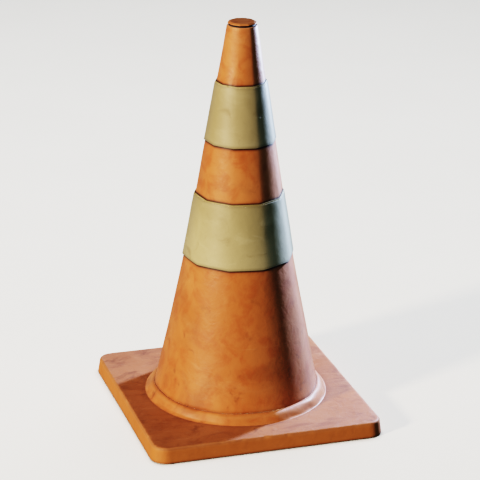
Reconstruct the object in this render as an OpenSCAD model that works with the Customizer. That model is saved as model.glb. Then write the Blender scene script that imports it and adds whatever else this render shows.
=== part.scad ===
// Two-piece traffic cone: a hollow ten-sided body clamped to a weighted square base,
// with two slip-on reflective collars and a pull-out tip cap.
// Millimetres, +Z up, origin on the ground at the centre of the base.

/* [Overall] */
// Height from the ground to the top of the cap
total_h = 747; // [700:1:900]

/* [Cone body] */
// Number of gentle sides round the body
sides = 10; // [8:2:16]
// Body radius over the corners where it leaves the base
foot_r = 158.3; // [140:0.1:165]
// Height of the bend where the body starts to flare
bend_z = 272; // [200:1:300]
// Body radius over the corners at the bend
bend_r = 108.1; // [95:0.1:120]
// Body radius over the corners at the rim
tip_r = 27.9; // [27:0.1:32]
// Wall thickness
wall = 3.5; // [2.5:0.5:5]
// Corner radius as a share of the body radius
corner_share = 0.16; // [0.05:0.01:0.5]
// Radius of the round mouth under the cap
mouth_r = 19; // [16:0.5:20]
// Depth of the round mouth
mouth_h = 12; // [8:1:20]
// Radius of the flange clamped under the base cover
flange_r = 186; // [180:1:190]
// Thickness of the flange
flange_t = 4; // [3:0.5:5]

/* [Base] */
// Width of the square base at its lower edge
base_w = 443; // [430:1:480]
// Height of the base's top face above the ground
base_h = 30; // [27:1:36]
// Corner radius at the lower edge
base_corner_r = 30; // [25:1:45]
// How far the sides lean in below the rounded top edge
side_lean = 3.5; // [1:0.5:6]
// Radius of the rounded top edge
edge_r = 5; // [3:0.5:6]
// Thickness of the cover's walls
cover_t = 6; // [4:0.5:7]
// Gap between the ground and the cover's skirt
ground_gap = 1.5; // [1:0.5:3]
// Radius of the hole through the ballast
ballast_hole_r = 165; // [163:1:168]

/* [Foot ring] */
// Radius of the ring's round outer edge
ring_r = 172.5; // [168:0.5:176]
// Height of the ring above the base
ring_h = 18; // [14:0.5:20]
// How far the ring's steep shoulder stands off the body
shoulder_w = 4.5; // [3:0.5:8]

/* [Collars] */
// Height of the lower collar's bottom edge
lower_z = 307; // [280:1:320]
// Height of the lower collar
lower_h = 119.5; // [90:0.5:130]
// Height of the upper collar's bottom edge
upper_z = 528; // [500:1:540]
// Height of the upper collar
upper_h = 109.5; // [80:0.5:120]
// Thickness of the collar's plastic sleeve
sleeve_t = 1.4; // [1:0.1:2]
// Thickness of the reflective film
film_t = 0.8; // [0.4:0.1:1]
// Height of the bare lip above the film
lip_h = 2.6; // [1:0.1:6]
// Gap between the sleeve and the body
sleeve_gap = 0.4; // [0.3:0.1:1]

/* [Tip cap] */
// Radius of the cap's head over its corners
cap_r = 29.1; // [28:0.1:33]
// Height of the cap's head
cap_h = 3.4; // [3:0.1:10]
// Gap that the seal fills between the cap and the rim
seal_h = 3.4; // [2:0.1:5]
// Depth of the plug below the rim
plug_h = 34; // [20:1:45]

/* [Hidden] */

orange = [0.85, 0.43, 0.14];
dark_rubber = [0.10, 0.10, 0.10];
khaki = [0.74, 0.66, 0.46];
pale = [0.86, 0.82, 0.70];
zinc = [0.70, 0.71, 0.72];

eps = 0.1;
slip = 0.3;
rim_z = total_h - cap_h - seal_h;
face_turn = 27;
face_middle = face_turn + 180 / sides;
arc_steps = 4;
flange_top = base_h - cover_t;
flange_bottom = flange_top - flange_t;

// Base outline half-widths, from the ground up
low_half = base_w / 2;
shoulder_half = low_half - side_lean;
shoulder_z = base_h - edge_r;
ballast_z = 3;

// Screws that clamp the flange, cover and ring together
ring_screw_circle = 156;
ring_screw_r = 2.2;
ring_screw_end = base_h + 5;
ring_head_r = 4.6;
ring_head_h = 3.2;

// Screws, washers and pads under the ballast
boss_at = 180;
boss_r = 9;
boss_z = 10;
base_screw_r = 2.6;
base_screw_end = 20;
washer_r = 12;
washer_t = 1.4;
washer_top = 7;
pad_r = 16;
pad_top = 6;
pad_spots = [for (x = [-1, 1], y = [-1, 1]) [148 * x, 148 * y],
             for (s = [-1, 1]) [190 * s, 0],
             for (s = [-1, 1]) [0, 190 * s]];
boss_spots = [for (x = [-1, 1], y = [-1, 1]) boss_at * [x, y]];

// Radius over the body's corners at height z
function body_r(z) = z < bend_z
    ? foot_r + (bend_r - foot_r) * (z - base_h) / (bend_z - base_h)
    : bend_r + (tip_r - bend_r) * (z - bend_z) / (rim_z - bend_z);

// Points of an outline with gentle sides and rounded corners, of radius r over the sharp corners
function outline(r) = let (soft = corner_share * r, centre = r - soft / cos(180 / sides))
    [for (k = [0 : sides - 1], j = [0 : arc_steps])
        let (corner = face_turn + k * 360 / sides, a = corner + (j / arc_steps - 0.5) * 360 / sides)
        centre * [cos(corner), sin(corner)] + soft * [cos(a), sin(a)]];

// Distance from the axis to the body's wall at height z, in the direction a
function wall_at(a, z) = let (half = 180 / sides, r = body_r(z), soft = corner_share * r,
    centre = r - soft / cos(half), flat = r * cos(half),
    off = abs((a - face_turn + 360) % (2 * half) - half), g = half - off)
    flat * tan(off) <= centre * sin(half)
        ? flat / cos(off)
        : centre * cos(g) + sqrt(pow(soft, 2) - pow(centre * sin(g), 2));

// Solid that follows the body's taper from z0 to z1, grown by extra
module taper(z0, z1, extra) {
    n = sides * (arc_steps + 1);
    heights = z0 < bend_z && z1 > bend_z ? [z0, bend_z, z1] : [z0, z1];
    points = [for (z = heights) for (p = outline(body_r(z) + extra)) [p.x, p.y, z]];
    last = (len(heights) - 1) * n;
    walls = [for (k = [0 : len(heights) - 2], i = [0 : n - 1])
        let (a = k * n, b = a + n, next = (i + 1) % n) [a + i, b + i, b + next, a + next]];
    ends = [[for (i = [0 : n - 1]) i], [for (i = [n - 1 : -1 : 0]) last + i]];
    polyhedron(points, concat(walls, ends));
}

// Wall that follows the body's taper, from inside to outside
module taper_wall(z0, z1, inside, outside) {
    n = sides * (arc_steps + 1);
    corners = [[z0, inside], [z0, outside], [z1, outside], [z1, inside]];
    points = [for (c = corners) for (p = outline(body_r(c[0]) + c[1])) [p.x, p.y, c[0]]];
    faces = [for (k = [0 : 3], i = [0 : n - 1])
        let (a = k * n, b = (k + 1) % 4 * n, next = (i + 1) % n) [a + i, b + i, b + next, a + next]];
    polyhedron(points, faces);
}

// Thin square with round corners at height z, the slice that the base's hulls are made of
module slice(half, r, z) {
    translate([0, 0, z]) linear_extrude(height = 0.01)
        offset(r = r, $fn = 48) square(2 * (half - r), center = true);
}

// Copies of the children, one on each side of the body, at the screw circle
module on_each_side() {
    for (i = [0 : sides - 1])
        rotate(face_middle + i * 360 / sides) translate([ring_screw_circle, 0, 0]) children();
}

module at_spots(spots) {
    for (p = spots) translate([p.x, p.y, 0]) children();
}

module cone_body() {
    color(orange) difference() {
        union() {
            taper(flange_bottom, rim_z, 0);
            translate([0, 0, flange_bottom]) cylinder(r = flange_r, h = flange_t, $fn = 120);
        }
        taper(flange_bottom - eps, rim_z - mouth_h, -wall);
        translate([0, 0, rim_z - mouth_h - 1]) cylinder(r = mouth_r, h = mouth_h + 2, $fn = 64);
        on_each_side() translate([0, 0, flange_bottom - 1])
            cylinder(r = ring_screw_r + slip, h = flange_t + 2, $fn = 24);
    }
}

// Ring on the cover: a steep shoulder that follows the body, sweeping out to a round edge
module foot_ring() {
    n = 120;
    shoulder_h = 3.5;
    sweep_h = ring_h - shoulder_h;
    sweep = [for (t = [90 : -11.25 : 0]) [base_h + sweep_h * (1 - sin(t)), cos(t), shoulder_w]];
    shoulder = [for (t = [20 : 20 : 60]) [base_h + sweep_h + shoulder_h * sin(t), 1, shoulder_w * cos(t)]];
    section = concat(sweep, shoulder);
    points = [for (s = section, i = [0 : n - 1])
        let (a = i * 360 / n, r = ring_r - (ring_r - wall_at(a, s[0]) - s[2]) * s[1])
        [r * cos(a), r * sin(a), s[0]]];
    last = (len(section) - 1) * n;
    faces = concat(
        [for (k = [0 : len(section) - 2], i = [0 : n - 1])
            let (a = k * n + i, b = k * n + (i + 1) % n) each [[a, a + n, b], [b, a + n, b + n]]],
        [[for (i = [0 : n - 1]) i], [for (i = [n - 1 : -1 : 0]) last + i]]);
    color(orange) difference() {
        polyhedron(points, faces);
        taper(base_h - 1, base_h + ring_h + 1, slip);
        on_each_side() translate([0, 0, base_h - 1])
            cylinder(r = ring_screw_r - 0.2, h = ring_screw_end - base_h + 2, $fn = 24);
    }
}

// Moulded shell of the base, open underneath
module base_cover() {
    color(orange) difference() {
        union() {
            difference() {
                hull() {
                    slice(low_half, base_corner_r, ground_gap);
                    for (i = [0 : 4]) {
                        a = 22.5 * i;
                        half = shoulder_half - edge_r * (1 - cos(a));
                        slice(half, base_corner_r - low_half + half, shoulder_z + edge_r * sin(a) - 0.01);
                    }
                }
                hull() {
                    slice(low_half - cover_t, base_corner_r - cover_t, ground_gap - 1);
                    slice(shoulder_half - cover_t, base_corner_r - cover_t - side_lean, flange_top - 0.01);
                }
            }
            at_spots(boss_spots) translate([0, 0, boss_z])
                cylinder(r = boss_r, h = flange_top - boss_z + 1, $fn = 40);
        }
        taper(flange_top - 1, base_h + 1, slip);
        on_each_side() translate([0, 0, flange_top - 1])
            cylinder(r = ring_screw_r + slip, h = cover_t + 2, $fn = 24);
        at_spots(boss_spots) translate([0, 0, boss_z - 1])
            cylinder(r = base_screw_r - 0.2, h = base_screw_end - boss_z + 2, $fn = 24);
    }
}

// Heavy slab that fills the cover round the foot of the body
module ballast_slab() {
    color(dark_rubber) difference() {
        hull() {
            slice(low_half - cover_t - slip - 0.3, base_corner_r - cover_t, ballast_z);
            slice(shoulder_half - cover_t - slip, base_corner_r - cover_t - side_lean, flange_top - 0.01);
        }
        translate([0, 0, ballast_z - 1]) cylinder(r = ballast_hole_r, h = base_h, $fn = 120);
        translate([0, 0, flange_bottom]) cylinder(r = flange_r + 1, h = base_h, $fn = 120);
        at_spots(boss_spots) {
            translate([0, 0, boss_z]) cylinder(r = boss_r + 0.5, h = base_h, $fn = 40);
            cylinder(r = base_screw_r + slip, h = base_h, $fn = 24);
            cylinder(r = washer_r + 1, h = washer_top, $fn = 48);
        }
        at_spots(pad_spots) cylinder(r = pad_r + slip, h = pad_top, $fn = 48);
    }
}

// Pan head with a cross recess, pointing up from z = 0
module screw(head_r, head_h, shank_r, shank_h) {
    difference() {
        union() {
            translate([0, 0, -head_h]) cylinder(r = head_r, h = head_h, $fn = 40);
            cylinder(r = shank_r, h = shank_h, $fn = 24);
        }
        for (turn = [0, 90]) rotate(turn) translate([-head_r / 2, -0.6, -head_h - 1])
            cube([head_r, 1.2, 1 + head_h / 2]);
    }
}

module ring_screws() {
    color(zinc) on_each_side() translate([0, 0, flange_bottom])
        screw(ring_head_r, ring_head_h, ring_screw_r, ring_screw_end - flange_bottom);
}

module base_screws() {
    head_seat = washer_top - washer_t;
    color(zinc) at_spots(boss_spots) translate([0, 0, head_seat])
        screw(5.5, 2.8, base_screw_r, base_screw_end - head_seat);
}

module base_washers() {
    color(zinc) at_spots(boss_spots) translate([0, 0, washer_top - washer_t]) difference() {
        cylinder(r = washer_r, h = washer_t, $fn = 48);
        translate([0, 0, -1]) cylinder(r = base_screw_r + slip, h = washer_t + 2, $fn = 24);
    }
}

module foot_pads() {
    chamfer = 1.5;
    color(dark_rubber) at_spots(pad_spots) {
        cylinder(r1 = pad_r - chamfer, r2 = pad_r, h = chamfer, $fn = 48);
        translate([0, 0, chamfer]) cylinder(r = pad_r, h = pad_top - chamfer, $fn = 48);
    }
}

module sleeve(z, h) {
    color(pale) taper_wall(z, z + h, sleeve_gap, sleeve_gap + sleeve_t);
}

module film(z, h) {
    color(khaki) taper_wall(z, z + h - lip_h, sleeve_gap + sleeve_t, sleeve_gap + sleeve_t + film_t);
}

module lower_sleeve() sleeve(lower_z, lower_h);
module lower_film() film(lower_z, lower_h);
module upper_sleeve() sleeve(upper_z, upper_h);
module upper_film() film(upper_z, upper_h);

// Flat head with a bevelled edge, on a hollow plug with four fingers
module tip_cap() {
    head_z = rim_z + seal_h;
    brim_h = 1.4;
    crown_r = cap_r - 3.5;
    plug_r = mouth_r - slip;
    plug_t = 2.4;
    slot_w = 3;
    color(orange) {
        hull() {
            translate([0, 0, head_z]) linear_extrude(height = brim_h) polygon(outline(cap_r));
            translate([0, 0, total_h - 0.01]) linear_extrude(height = 0.01) polygon(outline(crown_r));
        }
        difference() {
            translate([0, 0, rim_z - plug_h]) cylinder(r = plug_r, h = plug_h + seal_h + 1, $fn = 64);
            translate([0, 0, rim_z - plug_h - 1]) cylinder(r = plug_r - plug_t, h = plug_h + 1, $fn = 64);
            for (turn = [0, 90])
                rotate(face_turn + turn) translate([-cap_r, -slot_w / 2, rim_z - plug_h - 1])
                    cube([2 * cap_r, slot_w, plug_h - mouth_h + 1]);
        }
    }
}

module cap_seal() {
    color(dark_rubber) translate([0, 0, rim_z + 0.05]) difference() {
        cylinder(r = tip_r - wall, h = seal_h - 0.05, $fn = 64);
        translate([0, 0, -1]) cylinder(r = mouth_r, h = seal_h + 2, $fn = 64);
    }
}

cone_body();
foot_ring();
base_cover();
ballast_slab();
ring_screws();
base_screws();
base_washers();
foot_pads();
lower_sleeve();
lower_film();
upper_sleeve();
upper_film();
tip_cap();
cap_seal();
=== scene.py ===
"""A weathered traffic cone: a ten-sided orange body on a square base, two khaki collars and a tip cap.

Everything is in metres, +Z up, with the origin on the ground at the centre of the base.
"""

import math

import bpy
import numpy as np
from mathutils import Matrix, Vector


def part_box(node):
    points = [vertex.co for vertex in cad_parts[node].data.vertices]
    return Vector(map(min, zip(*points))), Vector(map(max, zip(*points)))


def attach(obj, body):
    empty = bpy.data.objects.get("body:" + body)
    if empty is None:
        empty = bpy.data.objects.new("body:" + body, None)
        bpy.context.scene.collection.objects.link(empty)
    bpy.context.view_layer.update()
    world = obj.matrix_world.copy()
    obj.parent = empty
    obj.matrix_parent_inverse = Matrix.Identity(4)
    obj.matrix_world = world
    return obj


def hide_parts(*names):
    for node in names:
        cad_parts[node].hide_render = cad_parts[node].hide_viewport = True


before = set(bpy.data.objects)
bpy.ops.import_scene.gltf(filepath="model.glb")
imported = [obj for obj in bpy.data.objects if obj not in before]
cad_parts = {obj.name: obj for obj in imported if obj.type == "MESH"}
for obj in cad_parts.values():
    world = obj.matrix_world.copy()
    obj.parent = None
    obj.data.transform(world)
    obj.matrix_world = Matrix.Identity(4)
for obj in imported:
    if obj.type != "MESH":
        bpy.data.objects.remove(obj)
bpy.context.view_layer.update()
MM = 0.001

# The body's ten-sided outline, as in the CAD: the bearing of one corner, and the radius over the sharp
# corners at the base, at the bend and at the rim
SIDES = 10
CORNER_TURN = math.radians(27)
BASE_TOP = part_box("base_cover")[1].z
RIM_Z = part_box("cone_body")[1].z
FOOT_R = 158.3 * MM
BEND_Z, BEND_R = 272 * MM, 108.1 * MM
BEND_SOFTNESS = 24 * MM
TIP_R = 27.9 * MM
WALL = 3.5 * MM

# How crisp the ten corners are, and how far the sides bulge from flat (0) towards a circle (1):
# least from the lower collar up, most near the foot ring's top, and least again beside its screws
CORNER_POWER = 150
LEAST_BULGE, MOST_BULGE = 0.1, 0.8
SCREW_END, RING_TOP, BULGE_END = 36 * MM, 46 * MM, 350 * MM

# The body's clamped flange and the thick neck round its mouth
FLANGE_T = 4 * MM
MOUTH_R, NECK_Z = 19 * MM, RIM_Z - 12 * MM

# The square cover: its round corners, rolled top edge and wall, how far its sides lean in, and how
# far in its flat top ends
COVER_CORNER, COVER_EDGE, COVER_T = 30 * MM, 5 * MM, 6 * MM
COVER_LEAN, COVER_INSET = 3.5 * MM, 8.5 * MM

# The collars: the gap to the body, the sleeve, the film, and the raised seam where the film overlaps
SLEEVE_GAP, SLEEVE_T, FILM_T = 0.4 * MM, 1.4 * MM, 0.8 * MM
SEAM_TURN, SEAM_HALF_WIDTH, SEAM_EDGE, SEAM_STEP = math.radians(95), 9 * MM, 1.2 * MM, 0.35 * MM

# The cap: the radius of its head, crown and plug (outside and inside), and where the fingers start
CAP_R, CROWN_R = 26.4 * MM, 22.4 * MM
PLUG_R, PLUG_BORE_R = 18.7 * MM, 16.3 * MM
HEAD_Z, SLOT_TOP = RIM_Z + 3.4 * MM, RIM_Z - 12 * MM
FINGERS, HALF_SLOT = 4, 1.5 * MM

# Points round the body and the collars, and round the cap
COLUMNS, CAP_COLUMNS = 240, 160

# Power of each lamp in watts, and strength of the light from all round
KEY_POWER, RIM_POWER, WASH_POWER, AMBIENT = 440, 46, 340, 0.11


# ---------------------------------------------------------------- outlines

def body_radius(z):
    """Radius over the body's corners at height z, with a soft bend where the foot starts to flare."""
    taper = (BEND_R - TIP_R) / (RIM_Z - BEND_Z)
    flare = (FOOT_R - BEND_R) / (BEND_Z - BASE_TOP) - taper
    below = BEND_Z - z
    return BEND_R + taper * below + flare * (below + np.sqrt(below ** 2 + BEND_SOFTNESS ** 2)) / 2


def ten_sided(turn, z):
    """Share of the corner radius at each angle and height, for an outline with ten gentle sides."""
    middles = CORNER_TURN + math.pi * (2 * np.arange(SIDES) + 1) / SIDES
    facing = np.clip(np.cos(turn[:, None] - middles[None, :]), 0, 1)
    flat = math.cos(math.pi / SIDES) * (facing ** CORNER_POWER).sum(1) ** (-1 / CORNER_POWER)
    bulge = np.interp(z, (SCREW_END, RING_TOP, BULGE_END), (LEAST_BULGE, MOST_BULGE, LEAST_BULGE))
    return flat + bulge * (1 - flat)


def angles(count):
    """Evenly spread angles, once round."""
    return np.arange(count) * 2 * math.pi / count


def level(radius, z, turn):
    """Points at height z, at one radius or one for each angle."""
    return np.column_stack([radius * np.cos(turn), radius * np.sin(turn), np.full(len(turn), z)])


def ring(radius, z, turn, roundness=0.0):
    """Points round the axis at height z: ten-sided at roundness 0, a circle at 1."""
    share = ten_sided(turn, z) * (1 - roundness) + roundness
    return level(radius * share, z, turn)


def rounded_square(half, corner, turn):
    """Points of a square with round corners, one on each ray at the angles in turn."""
    c, s = np.abs(np.cos(turn)), np.abs(np.sin(turn))
    edge = half / np.maximum(c, s)
    x, y = edge * c, edge * s
    centre = half - corner
    in_corner = (x > centre) & (y > centre)
    along = centre * (c + s)
    arc = along + np.sqrt(np.maximum(along ** 2 - 2 * centre ** 2 + corner ** 2, 0))
    reach = np.where(in_corner, arc, edge)
    return np.stack([reach * np.cos(turn), reach * np.sin(turn)], -1)


def square_turns(half, corner, straight_steps, corner_steps):
    """Angles of points spread along a square with round corners."""
    flat = half - corner
    side = [(half, -flat + 2 * flat * i / straight_steps) for i in range(straight_steps)]
    arc = [(flat + corner * math.cos(a), flat + corner * math.sin(a))
           for a in (math.pi / 2 * i / corner_steps for i in range(corner_steps))]
    quarter = [math.atan2(y, x) for x, y in side + arc]
    return np.array([a + math.pi / 2 * k for k in range(4) for a in quarter])


def fillet(path, radius, steps=4):
    """Path of (r, z) points with its corners rounded, apart from its ends and nearly straight ones."""
    straight, most_cut = 0.99, 0.45
    out = [path[0]]
    for a, b, c in zip(path, path[1:], path[2:]):
        a, b, c = (np.array(p, float) for p in (a, b, c))
        before, after = np.linalg.norm(a - b), np.linalg.norm(c - b)
        if (a - b) @ (c - b) < -straight * before * after:
            out.append(tuple(b))
            continue
        cut = min(radius, most_cut * before, most_cut * after)
        p, q = b + (a - b) * cut / before, b + (c - b) * cut / after
        for i in range(steps + 1):
            t = i / steps
            out.append(tuple((1 - t) ** 2 * p + 2 * t * (1 - t) * b + t * t * q))
    return out + [path[-1]]


def subdivided(path, step):
    """The same path with no stretch longer than step."""
    out = [path[0]]
    for a, b in zip(path, path[1:]):
        n = max(1, math.ceil(math.dist(a, b) / step))
        out += [tuple(np.array(a) + (np.array(b) - np.array(a)) * i / n) for i in range(1, n + 1)]
    return out


def with_rows(path, heights):
    """The same path, with extra points where its outer, rising stretches cross the given heights."""
    out = [path[0]]
    for a, b in zip(path, path[1:]):
        if b[1] > a[1]:
            crossed = [z for z in sorted(heights) if a[1] < z < b[1]]
            out += [(a[0] + (b[0] - a[0]) * (z - a[1]) / (b[1] - a[1]), z) for z in crossed]
        out.append(b)
    return out


# ---------------------------------------------------------------- meshes

def loft_faces(rows, columns, closed=True):
    """Quads between rings that follow each other, and from the last ring to the first if closed."""
    faces = []
    for r in range(rows if closed else rows - 1):
        a, b = r * columns, (r + 1) % rows * columns
        faces += [(a + i, a + (i + 1) % columns, b + (i + 1) % columns, b + i) for i in range(columns)]
    return faces


def make_mesh(name, points, faces, body, material):
    """A smooth-shaded piece in one material, on a moving body."""
    mesh = bpy.data.meshes.new(name)
    mesh.from_pydata([tuple(p) for p in points], [], faces)
    mesh.validate()
    mesh.shade_smooth()
    mesh.materials.append(material)
    piece = bpy.data.objects.new(name, mesh)
    bpy.context.scene.collection.objects.link(piece)
    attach(piece, body)
    return piece


def soften_sides(piece):
    """Turns the shading normals of upright faces to a round cone's, so that the ten sides blend."""
    mesh = piece.data
    normals = np.zeros(len(mesh.vertices) * 3)
    mesh.vertices.foreach_get("normal", normals)
    normals = normals.reshape(-1, 3)
    places = np.zeros(len(mesh.vertices) * 3)
    mesh.vertices.foreach_get("co", places)
    away = places.reshape(-1, 3)[:, :2]
    away = away / np.maximum(np.linalg.norm(away, axis=1), 1e-9)[:, None]
    flat = np.linalg.norm(normals[:, :2], axis=1)
    facing = (normals[:, :2] * away).sum(1)
    round_way = away * (flat * np.sign(facing))[:, None]
    blend = np.clip(np.abs(facing) * 2 - 1, 0, 1)[:, None]
    normals[:, :2] = normals[:, :2] * (1 - blend) + round_way * blend
    normals /= np.linalg.norm(normals, axis=1)[:, None]
    mesh.normals_split_custom_set_from_vertices([tuple(n) for n in normals])


def swell(points, height, seed, waves):
    """Slow unevenness of a moulded surface at each point, from (waves per metre, weight) pairs."""
    ways = 5
    draw = np.random.default_rng(seed)
    total = np.zeros(len(points))
    for frequency, weight in waves:
        for _ in range(ways):
            way = draw.normal(size=3)
            way /= np.linalg.norm(way)
            phase = points @ way * frequency * 2 * math.pi + draw.uniform(0, 2 * math.pi)
            total += weight * np.sin(phase) / ways
    return height * total


def outward(turn, rows):
    """Unit vectors away from the axis, for rows of points at the angles in turn."""
    one = np.stack([np.cos(turn), np.sin(turn), np.zeros_like(turn)], -1)
    return np.tile(one, (rows, 1))


def ramp(values, width):
    """0 at or below 0, rising evenly to 1 at width."""
    return np.clip(values / width, 0, 1)


def near(values, centre, width):
    """1 at centre, falling smoothly to 0 at width away."""
    return np.clip(1 - np.abs(values - centre) / width, 0, 1) ** 2


def set_mask(piece, name, values):
    """Stores a number at each point for the material to read."""
    attribute = piece.data.attributes.new(name, "FLOAT", "POINT")
    attribute.data.foreach_set("value", np.clip(values, 0, 1).astype(np.float32))


# ---------------------------------------------------------------- materials

def srgb(red, green, blue):
    """Linear colour from 0 to 255 display values."""
    def linear(value):
        value /= 255
        return value / 12.92 if value <= 0.04045 else ((value + 0.055) / 1.055) ** 2.4
    return (linear(red), linear(green), linear(blue), 1.0)


class Look:
    """One procedural material, built from patterns in the piece's own coordinates."""

    def __init__(self, name, roughness=0.5, specular=0.5, metallic=0.0, sheen=0.0):
        self.material = bpy.data.materials.new(name)
        self.material.use_nodes = True
        self.nodes = self.material.node_tree.nodes
        self.shader = self.nodes["Principled BSDF"]
        self.shader.inputs["Roughness"].default_value = roughness
        self.shader.inputs["Specular IOR Level"].default_value = specular
        self.shader.inputs["Metallic"].default_value = metallic
        self.shader.inputs["Sheen Weight"].default_value = sheen
        self.shader.inputs["Sheen Roughness"].default_value = 0.4
        self.place = self.add("ShaderNodeTexCoord").outputs["Object"]

    def add(self, kind):
        """A new node of this kind."""
        return self.nodes.new(kind)

    def link(self, value, socket):
        """Feeds a socket from another node, or sets it to a plain value."""
        if isinstance(value, bpy.types.NodeSocket):
            self.material.node_tree.links.new(value, socket)
        else:
            socket.default_value = value

    def stretched(self, stretch):
        """The piece's coordinates, scaled along each axis."""
        node = self.add("ShaderNodeMapping")
        self.link(self.place, node.inputs["Vector"])
        node.inputs["Scale"].default_value = stretch
        return node.outputs["Vector"]

    def noise(self, scale, detail=4.0, distortion=0.0, roughness=0.55, stretch=None):
        """Cloudy pattern from 0 to 1, with scale in features per metre."""
        node = self.add("ShaderNodeTexNoise")
        self.link(self.stretched(stretch) if stretch else self.place, node.inputs["Vector"])
        node.inputs["Scale"].default_value = scale
        node.inputs["Detail"].default_value = detail
        node.inputs["Roughness"].default_value = roughness
        node.inputs["Distortion"].default_value = distortion
        return node.outputs["Fac"]

    def cells(self, scale, feature="F1"):
        """Distance to the nearest of many scattered points, or to the edge between two of them."""
        node = self.add("ShaderNodeTexVoronoi")
        node.feature = feature
        self.link(self.place, node.inputs["Vector"])
        node.inputs["Scale"].default_value = scale
        return node.outputs["Distance"]

    def step(self, value, low, high, start=0.0, end=1.0):
        """start below low, end above high, and a smooth change between them."""
        node = self.add("ShaderNodeMapRange")
        node.interpolation_type = "SMOOTHSTEP"
        self.link(value, node.inputs["Value"])
        for name, number in (("From Min", low), ("From Max", high), ("To Min", start), ("To Max", end)):
            node.inputs[name].default_value = number
        return node.outputs["Result"]

    def times(self, a, b):
        """One pattern multiplied by another or by a number."""
        node = self.add("ShaderNodeMath")
        node.operation = "MULTIPLY"
        self.link(a, node.inputs[0])
        self.link(b, node.inputs[1])
        return node.outputs["Value"]

    def height(self):
        """Height above the ground with the piece at rest, in metres."""
        node = self.add("ShaderNodeSeparateXYZ")
        self.link(self.place, node.inputs["Vector"])
        return node.outputs["Z"]

    def mask(self, name):
        """A number stored at the piece's points."""
        node = self.add("ShaderNodeAttribute")
        node.attribute_name = name
        return node.outputs["Fac"]

    def mix(self, share, a, b):
        """Colour a where share is 0, and colour b where it is 1."""
        node = self.add("ShaderNodeMix")
        node.data_type = "RGBA"
        self.link(share, node.inputs["Factor"])
        self.link(a, node.inputs["A"])
        self.link(b, node.inputs["B"])
        return node.outputs["Result"]

    def coats(self, colour, layers):
        """Colour under (pattern, strength, colour) layers, one over the other."""
        for pattern, strength, layer_colour in layers:
            colour = self.mix(self.times(pattern, strength), colour, layer_colour)
        return colour

    def bump(self, layers):
        """Surface relief from (pattern, height in metres) layers, one on the other."""
        normal = None
        for pattern, height in layers:
            node = self.add("ShaderNodeBump")
            node.inputs["Distance"].default_value = height
            self.link(pattern, node.inputs["Height"])
            if normal:
                self.link(normal, node.inputs["Normal"])
            normal = node.outputs["Normal"]
        self.link(normal, self.shader.inputs["Normal"])

    def paint(self, colour, roughness=None):
        """Connects the finished colour, and a roughness pattern if there is one."""
        self.link(colour, self.shader.inputs["Base Color"])
        if roughness is not None:
            self.link(roughness, self.shader.inputs["Roughness"])
        return self.material


def body_plastic(name, specular, sheen):
    """Sun-faded orange plastic, mottled with ground-in dirt that thickens towards the foot."""
    look = Look(name, specular=specular, sheen=sheen)
    fade = look.step(look.noise(5, 3, 0.4), 0.35, 0.7)
    low = look.step(look.height(), 0.03, 0.34, 1.0, 0.3)
    mottle = look.step(look.noise(30, 6, 0.5, 0.62), 0.42, 0.7)
    blotches = look.step(look.noise(13, 4, 0.5, 0.5), 0.52, 0.72)
    spots = look.step(look.noise(34, 4, 0.4), 0.6, 0.76)
    rubs = look.step(look.noise(9, 5, 0.8, 0.6, (1, 1, 2.4)), 0.58, 0.78)
    scratches = look.step(look.noise(40, 3, 0.3, 0.5, (0.5, 0.5, 7)), 0.7, 0.76)
    colour = look.coats(look.mix(fade, srgb(206, 124, 76), srgb(219, 140, 91)), (
        (mottle, 0.65, srgb(188, 100, 60)),
        (look.times(blotches, low), 0.45, srgb(146, 86, 54)),
        (look.times(spots, low), 0.6, srgb(104, 60, 40)),
        (rubs, 0.35, srgb(232, 162, 118)),
        (scratches, 0.15, srgb(234, 172, 130)),
        # Painted shade along the collars' edges, in the foot ring's crease, inside the body and under
        # the cap's head
        (look.mask("grime_and_painted_shade"), 0.92, srgb(38, 20, 14)),
        (look.mask("wear"), 0.5, srgb(236, 166, 120)),
    ))
    grain = look.noise(700, 2)
    look.bump([(look.noise(45, 5, 0.4), 0.9 * MM), (grain, 0.12 * MM), (scratches, 0.1 * MM)])
    return look.paint(colour, look.step(look.noise(22, 5, 0.6), 0.3, 0.75, 0.42, 0.58))


def base_plastic():
    """The base's orange plastic, scoured in one direction and dirtier than the body."""
    look = Look("base_plastic", specular=0.3, sheen=0.1)
    fade = look.step(look.noise(6, 4, 0.5), 0.35, 0.7)
    drag = look.noise(19, 5, 0.5, 0.6, (0.8, 1.5, 1.5))
    fine_drag = look.step(look.noise(52, 5, 0.3, 0.6, (0.7, 1.8, 1.8)), 0.56, 0.74)
    stains = look.step(look.noise(22, 6, 0.8, 0.6), 0.54, 0.76)
    colour = look.coats(look.mix(fade, srgb(174, 106, 70), srgb(189, 121, 84)), (
        (look.step(drag, 0.46, 0.7), 0.6, srgb(136, 78, 52)),
        (fine_drag, 0.3, srgb(216, 150, 116)),
        (stains, 0.7, srgb(100, 56, 38)),
        (look.mask("side"), 0.6, srgb(228, 140, 84)),
        # Painted shade round the foot ring and in the hollow underneath, and darker towards the bottom
        # edge
        (look.mask("grime_and_painted_shade"), 0.8, srgb(62, 34, 26)),
        (look.mask("wear"), 0.5, srgb(232, 160, 116)),
    ))
    grain = look.noise(700, 2)
    look.bump([(look.noise(60, 5, 0.4), 0.8 * MM), (grain, 0.14 * MM), (fine_drag, 0.1 * MM)])
    return look.paint(colour, look.step(drag, 0.3, 0.75, 0.5, 0.7))


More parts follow.
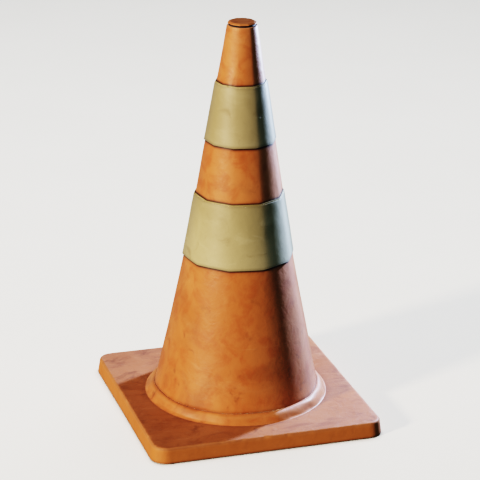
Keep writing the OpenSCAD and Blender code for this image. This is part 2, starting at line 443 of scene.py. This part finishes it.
def reflective_film():
    """Khaki reflective sheeting: fine cells under road dirt and wiped smudges, duller higher up."""
    look = Look("reflective_film", specular=0.6, sheen=0.8)
    cloud = look.step(look.noise(7, 4, 0.6), 0.35, 0.7)
    wipes = look.step(look.noise(11, 5, 1.0, 0.55, (1, 1, 2.6)), 0.5, 0.72)
    smudges = look.step(look.noise(19, 6, 1.2, 0.6), 0.54, 0.76)
    dull = look.step(look.height(), 0.38, 0.46)
    cell_edges = look.step(look.cells(240, "DISTANCE_TO_EDGE"), 0.0, 0.08, 1.0, 0.0)
    colour = look.coats(look.mix(cloud, srgb(178, 164, 124), srgb(198, 184, 144)), (
        (wipes, 0.45, srgb(212, 200, 162)),
        (smudges, 0.55, srgb(132, 114, 80)),
        (dull, 0.4, srgb(150, 132, 98)),
        (cell_edges, 0.06, srgb(150, 136, 96)),
        # Painted shade along the collar's lower and upper edges
        (look.mask("grime_and_painted_shade"), 0.6, srgb(86, 70, 44)),
    ))
    look.bump([(look.noise(60, 3, 0.4), 0.4 * MM), (cell_edges, 0.04 * MM)])
    return look.paint(colour, look.step(smudges, 0.0, 1.0, 0.5, 0.66))


def sleeve_plastic():
    """The pale carrier that shows as a lip above the film."""
    look = Look("sleeve_plastic", specular=0.4)
    cloud = look.step(look.noise(24, 4, 0.6), 0.35, 0.7)
    dirt = look.step(look.noise(40, 5, 1.0), 0.56, 0.74)
    colour = look.coats(look.mix(cloud, srgb(178, 160, 116), srgb(198, 182, 140)), (
        (dirt, 0.5, srgb(140, 120, 78)),
        # Painted shade along the collar's lower and upper edges
        (look.mask("grime_and_painted_shade"), 0.7, srgb(70, 58, 38)),
    ))
    look.bump([(look.noise(300, 3), 0.1 * MM)])
    return look.paint(colour, look.step(dirt, 0.0, 1.0, 0.5, 0.68))


def rubber(name, dark, light, crumb):
    """Black rubber with a moulded grain. crumb is the share of pale granules in recycled rubber."""
    look = Look(name, specular=0.35)
    cloud = look.step(look.noise(14, 4, 0.5), 0.35, 0.7)
    dust = look.step(look.noise(30, 6, 1.0), 0.5, 0.8)
    granules = look.step(look.cells(330), 0.1, 0.32, 1.0, 0.0)
    chosen = look.step(look.noise(160, 2), 0.62, 0.66)
    colour = look.coats(look.mix(cloud, dark, light), (
        (dust, 0.35, srgb(112, 100, 88)),
        (look.times(granules, chosen), crumb, srgb(150, 148, 140)),
    ))
    look.bump([(granules, 0.3 * MM * (0.3 + crumb)), (look.noise(500, 3), 0.15 * MM)])
    return look.paint(colour, look.step(dust, 0.0, 1.0, 0.66, 0.9))


def zinc_steel():
    """Zinc-plated steel with dull patches and a little rust."""
    look = Look("zinc_steel", metallic=0.9)
    cloud = look.step(look.noise(180, 4, 0.5), 0.35, 0.7)
    rust = look.step(look.noise(120, 6, 1.2), 0.6, 0.72)
    colour = look.coats(look.mix(cloud, srgb(150, 152, 156), srgb(190, 192, 196)), (
        (rust, 0.7, srgb(122, 66, 34)),
    ))
    look.bump([(look.noise(900, 3), 0.06 * MM), (rust, 0.05 * MM)])
    return look.paint(colour, look.step(rust, 0.0, 1.0, 0.36, 0.75))


def pale_floor():
    """Matt off-white floor with a faint cloudiness."""
    look = Look("pale_floor", roughness=0.95, specular=0.1)
    cloud = look.noise(3, 2)
    return look.paint(look.mix(cloud, srgb(232, 231, 229), srgb(238, 237, 235)))


# ---------------------------------------------------------------- body and foot ring

def shell_path():
    """The body's section, once round: flange, outer wall, rim, mouth, neck and inner wall."""
    low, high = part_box("cone_body")
    flange_top = low.z + FLANGE_T
    start_z = low.z + 30 * MM
    outer_rows, inner_rows = 32, 12
    path = [(body_radius(start_z) - WALL, start_z),
            (body_radius(low.z) - WALL, low.z),
            (high.x, low.z),
            (high.x, flange_top)]
    path += [(body_radius(z), z) for z in np.linspace(flange_top, RIM_Z, outer_rows)]
    path += [(MOUTH_R, RIM_Z), (MOUTH_R, NECK_Z)]
    path += [(body_radius(z) - WALL, z) for z in np.linspace(NECK_Z, start_z, inner_rows)]
    path = subdivided(fillet(path, 1.3 * MM), 6 * MM)[:-1]

    # Rows close to each collar edge, in millimetres above it, for the painted shade line there
    edges = [corner.z for node in ("lower_sleeve", "upper_sleeve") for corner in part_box(node)]
    above_edge = (-5, -3.5, -2.5, -1.5, -0.5, 0.5, 2, 4)
    return with_rows(path, [z + step * MM for z in edges for step in above_edge])


def cone_shell(material):
    """The hollow body: flange under the cover, taper, rounded rim, round mouth and the inside."""
    flange_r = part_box("cone_body")[1].x
    ring_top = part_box("foot_ring")[1].z
    turn = angles(COLUMNS)
    path = shell_path()
    rows = len(path)

    def roundness(r, z):
        """Rounder towards the flange's rim and towards the mouth, ten-sided between them."""
        wall = body_radius(z)
        if r > wall:
            return min(1, (r - wall) / (flange_r - wall))
        if z > NECK_Z - 0.5 * MM:
            return min(1, (wall - r) / (wall - MOUTH_R))
        return 0

    points = np.concatenate([ring(r, z, turn, roundness(r, z)) for r, z in path])
    r, z = np.hypot(points[:, 0], points[:, 1]), points[:, 2]
    # The unevenness fades out at the foot ring and at the rim
    free = ramp(z - ring_top, 60 * MM) * ramp(RIM_Z - z, 30 * MM)
    uneven = swell(points, 0.7 * MM, seed=3, waves=((4, 1.0), (11, 0.5), (27, 0.18)))
    points += outward(turn, rows) * (uneven * free)[:, None]
    piece = make_mesh("cone_shell", points, loft_faces(rows, COLUMNS), "cone", material)
    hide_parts("cone_body")

    # Painted shade lines under and over each collar and above the foot ring's crease, and wear, go on
    # the outer face.
    # Below the neck they reach the inner face as well, where the wall is thin beside its radius; the
    # rest of the inside is painted evenly darker, as shade.
    flat_side, slack = 0.93, 1.5 * MM
    lined = r > body_radius(z) * flat_side - slack
    grime_and_painted_shade = near(z, ring_top - 3 * MM, 12 * MM) * 0.6
    for node in ("lower_sleeve", "upper_sleeve"):
        low, high = (corner.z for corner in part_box(node))
        grime_and_painted_shade += near(z, low, 8 * MM) * 2.2 + near(z, high, 6 * MM) * 1.6
    painted_inside_shade = 0.45
    set_mask(piece, "grime_and_painted_shade", np.where(lined, grime_and_painted_shade, painted_inside_shade))
    set_mask(piece, "wear", near(z, RIM_Z, 3 * MM) * lined)
    soften_sides(piece)


def foot_flare(material):
    """The ring round the foot: it swells out from the body's wall and settles softly on the base."""
    low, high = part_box("foot_ring")
    slip, steps = 0.15 * MM, 28

    # The section lies between a quarter-round that bulges and one that is hollow
    bulging_share, hollow_share = 0.62, 0.38
    turn = angles(COLUMNS)
    sides = ten_sided(turn, RING_TOP)

    def wall(z):
        return body_radius(z) * sides + slip

    rows = [level(wall(low.z), low.z, turn)]
    for i in range(steps + 1):
        rise = (1 - math.cos(math.pi * i / steps)) / 2
        bulging = math.sqrt(1 - rise ** 2)
        hollow = 1 - math.sqrt(1 - (1 - rise) ** 2)
        reach = bulging_share * bulging + hollow_share * hollow
        z = low.z + (high.z - low.z) * rise
        rows.append(level(wall(z) + (high.x - wall(z)) * reach, z, turn))
    points = np.concatenate(rows)
    above_base = ramp(points[:, 2] - low.z, 4 * MM)
    below_top = ramp(high.z - points[:, 2], 3 * MM)
    uneven = swell(points, 1.7 * MM, seed=11, waves=((6, 1.0), (15, 0.9), (34, 0.5)))
    points += outward(turn, len(rows)) * (uneven * above_base * below_top)[:, None]

    # Uneven up and down too, and lowered a little so that the lip tucks in against the body
    tuck = 0.9 * MM
    points[:, 2] += (swell(points, 0.8 * MM, seed=12, waves=((7, 1.0), (18, 0.6))) - tuck) * above_base
    faces = loft_faces(len(rows), COLUMNS)
    piece = make_mesh("foot_flare", points, faces, "cone", material)
    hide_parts("foot_ring")
    z = points[:, 2]
    # Painted shade in the crease where the ring's top meets the body
    set_mask(piece, "grime_and_painted_shade", near(z, high.z, 2.5 * MM) * 0.5)
    set_mask(piece, "wear", near(z, high.z - 5 * MM, 5 * MM) * 0.35)


# ---------------------------------------------------------------- base

def cover_rows(turn):
    """Rings of points over the cover, from the body's hole outwards, down and back underneath."""
    low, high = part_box("base_cover")
    top_steps, edge_steps, side_steps, under_steps = 36, 8, 8, 6
    foot_round = 1 * MM

    def square(inset, z):
        flat = rounded_square(high.x - inset, COVER_CORNER - inset, turn)
        return np.column_stack([flat, np.full(len(turn), z)])

    hole = ring(body_radius(BASE_TOP) + 0.3 * MM, high.z, turn)
    rim = square(COVER_INSET, high.z)
    rows = [hole * (1 - i / top_steps) + rim * (i / top_steps) for i in range(top_steps)]
    for i in range(edge_steps + 1):
        a = math.pi / 2 * i / edge_steps
        inset = COVER_INSET - COVER_EDGE * math.sin(a)
        rows.append(square(inset, high.z - COVER_EDGE * (1 - math.cos(a))))
    side_top, side_drop = high.z - COVER_EDGE, low.z + foot_round - high.z + COVER_EDGE
    for i in range(1, side_steps + 1):
        t = i / side_steps
        rows.append(square(COVER_LEAN * (1 - t), side_top + side_drop * t))

    # The rounded foot, and the inner wall up to the hollow's corner
    rows += [square(0.3 * MM, low.z + 0.3 * MM),
             square(foot_round, low.z),
             square(COVER_T - 0.6 * MM, low.z),
             square(COVER_T, low.z + 0.6 * MM),
             square(COVER_T + 3 * MM, high.z - COVER_T - 2 * MM),
             square(COVER_T + 5 * MM, high.z - COVER_T)]
    under_rim, under_hole = rows[-1], hole.copy()
    under_hole[:, 2] = high.z - COVER_T
    shares = [i / under_steps for i in range(1, under_steps + 1)]
    return rows + [under_rim * (1 - share) + under_hole * share for share in shares]


def base_plate(material):
    """The square cover: uneven flat top round the body, nicked rolled edge and leaning sides."""
    low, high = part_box("base_cover")
    half = high.x
    turn = square_turns(half, COVER_CORNER, straight_steps=96, corner_steps=14)
    rows = cover_rows(turn)
    points = np.concatenate(rows)
    z = points[:, 2].copy()
    x, y = np.abs(points[:, 0]), np.abs(points[:, 1])
    centre = half - COVER_CORNER
    corner_gap = COVER_CORNER - np.hypot(np.maximum(x - centre, 0), np.maximum(y - centre, 0))
    from_edge = np.where((x > centre) & (y > centre), corner_gap, half - np.maximum(x, y))
    underside_end = high.z - COVER_T + 1 * MM
    top = z > underside_end
    uneven = swell(points, 0.8 * MM, seed=21, waves=((3, 1.0), (8, 0.4)))
    points[:, 2] += uneven * top * ramp(from_edge, 50 * MM)

    # Nicks along the rolled edge, where fine waves happen to be high, up to half a unit deep
    waves = swell(points, 1.0, seed=24, waves=((35, 1.0), (80, 0.8), (150, 0.6)))
    nicks = np.clip(waves - 0.35, 0, 0.5) * near(z, high.z - 2 * MM, 6 * MM) * (from_edge < 12 * MM)
    nick_in, nick_down = 2.2 * MM, 1.6 * MM
    points[:, :2] *= 1 - (nicks * nick_in / np.hypot(points[:, 0], points[:, 1]))[:, None]
    points[:, 2] -= nicks * nick_down
    sway = swell(points, 0.5 * MM, seed=22, waves=((3, 1.0), (9, 0.4)))
    points[:, 0] += sway * (x > centre) * -np.sign(points[:, 0])
    points[:, :2] = np.clip(points[:, :2], -half, half)
    faces = loft_faces(len(rows), len(turn))
    piece = make_mesh("base_plate", points, faces, "cone", material)
    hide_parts("base_cover")

    r = np.hypot(points[:, 0], points[:, 1])
    ring_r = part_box("foot_ring")[1].x
    # Painted shade on the top round the ring's foot and in the hollow underneath; darker towards the
    # bottom edge
    grime_and_painted_shade = near(r, ring_r, 16 * MM) * top * 0.3 + near(z, low.z, 7 * MM) * 0.45
    hollow = (z < underside_end) & (from_edge > COVER_T - 1 * MM)
    set_mask(piece, "grime_and_painted_shade", grime_and_painted_shade + np.where(hollow, 0.6, 0))
    set_mask(piece, "wear", near(from_edge, 5.5 * MM, 5 * MM) * (z > high.z - 7 * MM) * 0.8 + nicks)
    set_mask(piece, "side", (high.z - 2 * MM - z) / (3 * MM))


# ---------------------------------------------------------------- collars

def collar_part(name, node, inside, outside, low, high, body, material, seam=0.0):
    """A thin tapered band between two distances from the body, with a raised seam seam metres high."""
    soft = min(0.45 * (outside - inside), 0.6 * MM)
    middle = (low + high) / 2
    path = [(body_radius(middle) + inside, middle),
            (body_radius(low) + inside, low), (body_radius(low) + outside, low),
            (body_radius(high) + outside, high), (body_radius(high) + inside, high),
            (body_radius(middle) + inside, middle)]
    path = subdivided(fillet(path, soft, 5)[:-1], 5 * MM)
    rows = len(path)
    turn = angles(COLUMNS)
    points = np.concatenate([ring(r, z, turn) for r, z in path])
    z = points[:, 2].copy()
    r = np.hypot(points[:, 0], points[:, 1])
    outer_face = np.repeat([p[0] > body_radius(p[1]) + (inside + outside) / 2 for p in path], COLUMNS)
    away = outward(turn, rows)
    uneven = swell(points, 0.25 * MM, seed=31, waves=((13, 1.0), (33, 0.5)))
    points += away * (uneven * outer_face)[:, None]
    if seam:
        around = np.tile(turn, rows)
        gap = np.abs((around - SEAM_TURN + math.pi) % (2 * math.pi) - math.pi) * r
        points += away * (ramp(SEAM_HALF_WIDTH - gap, SEAM_EDGE) * seam * outer_face)[:, None]
    edge = near(z, low, 4 * MM) + near(z, high, 4 * MM)
    points[:, 2] += swell(points, 0.35 * MM, seed=33, waves=((9, 1.0), (24, 0.6))) * edge
    piece = make_mesh(name, points, loft_faces(rows, COLUMNS), body, material)
    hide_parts(node)
    # Painted shade along the band's lower and upper edges
    set_mask(piece, "grime_and_painted_shade", near(z, low, 4 * MM) * 0.9 + near(z, high, 3 * MM) * 0.5)
    soften_sides(piece)


def collar(name, sleeve_material, film_material):
    """One collar: the plastic sleeve, and the film that leaves a lip of it bare along the top."""
    body = name + "_collar"
    low, high = (corner.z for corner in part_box(name + "_sleeve"))
    collar_part(name + "_band", name + "_sleeve", SLEEVE_GAP, SLEEVE_GAP + SLEEVE_T, low, high, body,
                sleeve_material)
    film_low, film_high = (corner.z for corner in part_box(name + "_film"))
    sunk, past_edge = 0.2 * MM, 0.1 * MM
    collar_part(name + "_sheeting", name + "_film", SLEEVE_GAP + SLEEVE_T - sunk,
                SLEEVE_GAP + SLEEVE_T + FILM_T, film_low - past_edge, film_high, body,
                film_material, seam=SEAM_STEP)


# ---------------------------------------------------------------- cap

def cap_finger(start, sweep, low_z, first):
    """Points and faces of one finger of the plug, with its points numbered from first."""
    steps, above_slot = 14, SLOT_TOP + 0.5 * MM
    arc = start + sweep * np.arange(steps + 1) / steps
    section = fillet([(PLUG_BORE_R, SLOT_TOP - 5 * MM), (PLUG_BORE_R, low_z),
                      (PLUG_R - 0.8 * MM, low_z), (PLUG_R, low_z + 3 * MM),
                      (PLUG_R, above_slot), (PLUG_BORE_R, above_slot),
                      (PLUG_BORE_R, SLOT_TOP - 5 * MM)], 0.5 * MM, 3)[:-1]
    points = np.concatenate([level(r, z, arc) for r, z in section])
    n, m = len(section), len(arc)
    faces = []
    for i in range(n):
        a, b = first + i * m, first + (i + 1) % n * m
        faces += [(a + j, b + j, b + j + 1, a + j + 1) for j in range(m - 1)]
    faces.append(tuple(first + i * m for i in range(n)))
    faces.append(tuple(first + i * m + m - 1 for i in range(n))[::-1])
    return points, faces


def cap_head(material):
    """The tip cap: a low chamfered head with ten sides, and a hollow plug that ends in four fingers."""
    low, high = (corner.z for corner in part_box("tip_cap"))
    turn = angles(CAP_COLUMNS)
    shoulder_z = HEAD_Z + 1.3 * MM
    centre_r = 0.4 * MM
    path = [(centre_r, high), (CROWN_R, high - 0.2 * MM), (CAP_R, shoulder_z), (CAP_R, HEAD_Z),
            (PLUG_R, HEAD_Z), (PLUG_R, SLOT_TOP), (PLUG_BORE_R, SLOT_TOP), (PLUG_BORE_R, RIM_Z),
            (centre_r, RIM_Z)]
    path = subdivided(fillet(path, 0.45 * MM), 3 * MM)

    def roundness(r, z):
        """Ten-sided on the head's outside, and round at its centre and on the plug."""
        if z < HEAD_Z or r < PLUG_R:
            return 1.0
        return 0.0

    points = np.concatenate([ring(r, z, turn, roundness(r, z)) for r, z in path])
    rows = len(path)
    faces = loft_faces(rows, CAP_COLUMNS, closed=False)
    faces.append(tuple(range(CAP_COLUMNS))[::-1])
    faces.append(tuple(range((rows - 1) * CAP_COLUMNS, rows * CAP_COLUMNS)))
    quarter, gap = math.pi / 2, HALF_SLOT / PLUG_R
    for k in range(FINGERS):
        start = CORNER_TURN + k * quarter + gap
        finger_points, finger_faces = cap_finger(start, quarter - 2 * gap, low, len(points))
        points = np.concatenate([points, finger_points])
        faces += finger_faces
    piece = make_mesh("cap_head", points, faces, "cap", material)
    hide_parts("tip_cap")
    z, r = points[:, 2], np.hypot(points[:, 0], points[:, 1])
    # Painted shade under the head and on the plug, in the gap at the body's mouth
    set_mask(piece, "grime_and_painted_shade", np.where(z < HEAD_Z + 0.3 * MM, 0.8, 0.0))
    crown_wear = near(r, CROWN_R, 3 * MM) * (z > HEAD_Z) * 0.7
    set_mask(piece, "wear", crown_wear + near(z, shoulder_z, 1.2 * MM) * 0.6)


# ---------------------------------------------------------------- CAD nodes that stay

def finish_cad_nodes():
    """Materials of the CAD nodes that stay: what shows underneath, and the cap's seal."""
    ballast = rubber("ballast_rubber", srgb(34, 33, 32), srgb(52, 50, 48), 0.9)
    pads = rubber("pad_rubber", srgb(22, 22, 23), srgb(36, 36, 37), 0.0)
    steel = zinc_steel()
    # The cap's seal is dark rubber, and its dark ring in the gap under the cap's head also stands in
    # for the shade there
    for node, material in (("ballast_slab", ballast), ("foot_pads", pads), ("cap_seal", pads),
                           ("ring_screws", steel), ("base_screws", steel), ("base_washers", steel)):
        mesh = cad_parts[node].data
        mesh.materials.clear()
        mesh.materials.append(material)


# ---------------------------------------------------------------- stage, lights and camera

def floor(material):
    """A wide plain floor that neither lights the cone nor shows in its gloss."""
    half = 12
    corners = [(-half, -half, 0), (half, -half, 0), (half, half, 0), (-half, half, 0)]
    mesh = bpy.data.meshes.new("floor")
    mesh.from_pydata(corners, [], [(0, 1, 2, 3)])
    mesh.materials.append(material)
    sheet = bpy.data.objects.new("floor", mesh)
    bpy.context.scene.collection.objects.link(sheet)
    sheet.visible_diffuse = False
    sheet.visible_glossy = False
    return sheet


def area_light(name, place, size, power, colour, aim):
    """Square soft light at a place, facing aim."""
    data = bpy.data.lights.new(name, "AREA")
    data.size = size
    data.energy = power
    data.color = colour
    lamp = bpy.data.objects.new(name, data)
    lamp.location = place
    lamp.rotation_mode = "QUATERNION"
    lamp.rotation_quaternion = (Vector(place) - aim).to_track_quat("Z", "Y")
    lamp.visible_camera = False
    bpy.context.scene.collection.objects.link(lamp)
    return lamp


def light_only(lamp, sheet, state):
    """Makes a lamp light only the floor (INCLUDE) or all but the floor (EXCLUDE)."""
    lit = bpy.data.collections.new(lamp.name + "_lights")
    lit.objects.link(sheet)
    lit.collection_objects[0].light_linking.link_state = state
    lamp.light_linking.receiver_collection = lit


def from_bearing(turn, distance, height):
    """A place at a bearing from the +X axis, in degrees, and a distance from the axis."""
    angle = math.radians(turn)
    return Vector((distance * math.cos(angle), distance * math.sin(angle), height))


def lights(sheet):
    """A warm key at the front left, a small cool light behind the right, a floor wash and a sky."""
    aim = Vector((0, 0, 0.3))
    warm, cool, white = (1.0, 0.82, 0.60), (0.50, 0.67, 1.0), (1.0, 1.0, 1.0)
    sky = (0.62, 0.86, 1.0, 1.0)
    area_light("warm_key", from_bearing(-158.5, 6.0, 2.2), 0.6, KEY_POWER, warm, aim)
    rim = area_light("cool_rim", from_bearing(26.5, 1.1, 0.70), 0.08, RIM_POWER, cool, aim)
    wash = area_light("floor_wash", Vector((0.5, 1.0, 5.0)), 4.0, WASH_POWER, white, aim)
    light_only(rim, sheet, "EXCLUDE")
    light_only(wash, sheet, "INCLUDE")
    world = bpy.data.worlds.new("studio")
    world.use_nodes = True
    world.node_tree.nodes["Background"].inputs["Color"].default_value = sky
    world.node_tree.nodes["Background"].inputs["Strength"].default_value = AMBIENT
    bpy.context.scene.world = world


def camera():
    """Seen from the front left and above, with a long lens and a slight roll."""
    turn, rise, roll = math.radians(-17.93), math.radians(20.91), math.radians(1.01)
    distance = 3.7285
    middle = Vector((0, 0, 0.329))
    data = bpy.data.cameras.new("camera")
    data.sensor_width = 36
    data.lens = 150.8
    data.shift_x = 0.0035
    back = Vector((math.sin(turn) * math.cos(rise), -math.cos(turn) * math.cos(rise), math.sin(rise)))
    right = Vector((math.cos(turn), math.sin(turn), 0))
    up = back.cross(right)
    tilted_right = right * math.cos(roll) + up * math.sin(roll)
    tilted_up = up * math.cos(roll) - right * math.sin(roll)
    axes = Matrix((tilted_right, tilted_up, back)).transposed()
    holder = bpy.data.objects.new("camera", data)
    holder.matrix_world = Matrix.Translation(middle + back * distance) @ axes.to_4x4()
    bpy.context.scene.collection.objects.link(holder)
    bpy.context.scene.camera = holder


camera()
lights(floor(pale_floor()))
orange = body_plastic("body_plastic", specular=0.45, sheen=0.4)
cone_shell(orange)
foot_flare(orange)
base_plate(base_plastic())
sleeve_look, film_look = sleeve_plastic(), reflective_film()
collar("lower", sleeve_look, film_look)
collar("upper", sleeve_look, film_look)
cap_head(body_plastic("cap_plastic", specular=0.3, sheen=0.05))
finish_cad_nodes()
bpy.context.scene.view_settings.view_transform = "Filmic"
bpy.context.scene.view_settings.look = "Very High Contrast"
